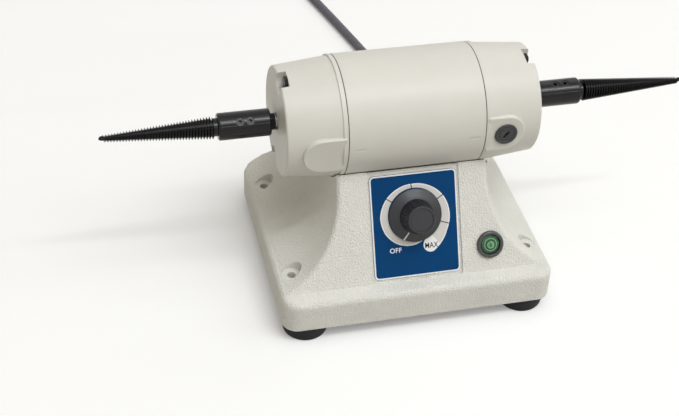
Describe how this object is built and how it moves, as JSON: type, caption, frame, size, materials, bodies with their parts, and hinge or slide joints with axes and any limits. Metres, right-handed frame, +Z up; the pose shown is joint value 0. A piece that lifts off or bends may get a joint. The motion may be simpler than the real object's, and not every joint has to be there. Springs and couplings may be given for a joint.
{
  "type": "dental polishing lathe",
  "caption": "Bench polishing lathe with a motor on a cast pedestal, a tapered spindle at each end and a speed dial on a sloped panel.",
  "frame": {"origin": "centre of the footprint on the table, under the feet", "axes": "+X along the motor and its spindles, +Y away from the user, +Z up"},
  "size_m": [0.3768, 0.5949, 0.1561],
  "materials": {
    "casting_paint": "satin cream paint with a fine wrinkle texture",
    "motor_paint": "smooth satin cream paint",
    "cover_paint": "plain grey sheet",
    "foot_rubber": "matte black rubber",
    "black_steel": "glossy black oxide",
    "zinc_steel": "zinc plated steel",
    "shaft_steel": "ground steel",
    "core_steel": "stacked laminations",
    "bearing_steel": "polished bearing steel",
    "magnet": "grey black ferrite",
    "winding_copper": "enamelled copper wire",
    "bar_copper": "turned copper",
    "brass": "plain brass",
    "carbon": "dull carbon",
    "black_plastic": "moulded black plastic",
    "dial_print": "printed navy plate with a white border",
    "lens_green": "green moulded lens",
    "board_green": "solder masked board",
    "aluminium": "extruded aluminium",
    "capacitor_blue": "sleeved can",
    "lead_insulation": "coloured wire insulation",
    "cord_grey": "grey cord jacket",
    "blade_brass": "plain brass blades"
  },
  "bodies": {
    "stand": {"base_casting": "casting_paint", "board_screws": "zinc_steel", "board_standoffs": "brass", "bottom_cover": "cover_paint", "brush_cap_front": "black_plastic", "brush_cap_rear": "black_plastic", "brush_holder_front": "brass", "brush_holder_rear": "brass", "brush_spring_front": "shaft_steel", "brush_spring_rear": "shaft_steel", "carbon_brush_front": "carbon", "carbon_brush_rear": "carbon", "control_board": "board_green", "cord_coil": "cord_grey", "cord_tie": "black_plastic", "dial_plate": "dial_print", "filter_capacitors": "capacitor_blue", "foot_back_left": "foot_rubber", "foot_back_right": "foot_rubber", "foot_front_left": "foot_rubber", "foot_front_right": "foot_rubber", "foot_screws": "zinc_steel", "foot_washers": "zinc_steel", "heat_sink": "aluminium", "internal_leads": "lead_insulation", "left_bearing_outer_race": "bearing_steel", "left_end_bell": "motor_paint", "magnet_front": "magnet", "magnet_rear": "magnet", "motor_mount_screws": "black_steel", "motor_shell": "motor_paint", "motor_tie_bolts": "black_steel", "motor_tie_nuts": "black_steel", "pilot_lamp_bezel": "black_plastic", "pilot_lamp_body": "black_plastic", "pilot_lamp_lens": "lens_green", "pilot_lamp_nut": "black_plastic", "plug_blades": "blade_brass", "plug_body": "cord_grey", "potentiometer_body": "black_plastic", "potentiometer_nut": "zinc_steel", "power_cord": "cord_grey", "right_bearing_outer_race": "bearing_steel", "right_end_bell": "motor_paint", "strain_relief": "black_plastic", "terminal_block": "black_plastic", "wave_washer": "shaft_steel"},
    "rotor": {"motor_shaft": "shaft_steel", "armature_core": "core_steel", "armature_winding": "winding_copper", "commutator": "bar_copper", "left_bearing_inner_race": "bearing_steel", "right_bearing_inner_race": "bearing_steel", "left_spindle": "black_steel", "right_spindle": "black_steel", "spindle_set_screws": "black_steel"},
    "left_cage": {"left_bearing_balls": "bearing_steel"},
    "right_cage": {"right_bearing_balls": "bearing_steel"},
    "knob": {"speed_knob": "black_plastic", "potentiometer_shaft": "aluminium"}
  },
  "joints": [
    {"name": "spindle_spin", "type": "hinge", "parent": "stand", "child": "rotor", "pos_m": [0, 0, 0.118], "axis": [1, 0, 0], "continuous": true},
    {"name": "left_cage_turn", "type": "hinge", "parent": "stand", "child": "left_cage", "pos_m": [-0.0705, 0, 0.118], "axis": [1, 0, 0], "continuous": true},
    {"name": "right_cage_turn", "type": "hinge", "parent": "stand", "child": "right_cage", "pos_m": [0.0705, 0, 0.118], "axis": [1, 0, 0], "continuous": true},
    {"name": "knob_turn", "type": "hinge", "parent": "stand", "child": "knob", "pos_m": [0, -0.04487, 0.06806], "axis": [0, 0.8886, -0.4586], "range_deg": [0, 300]}
  ],
  "couplings": [
    {"joint": "left_cage_turn", "follows": "spindle_spin", "ratio": 0.372},
    {"joint": "right_cage_turn", "follows": "spindle_spin", "ratio": 0.372}
  ]
}
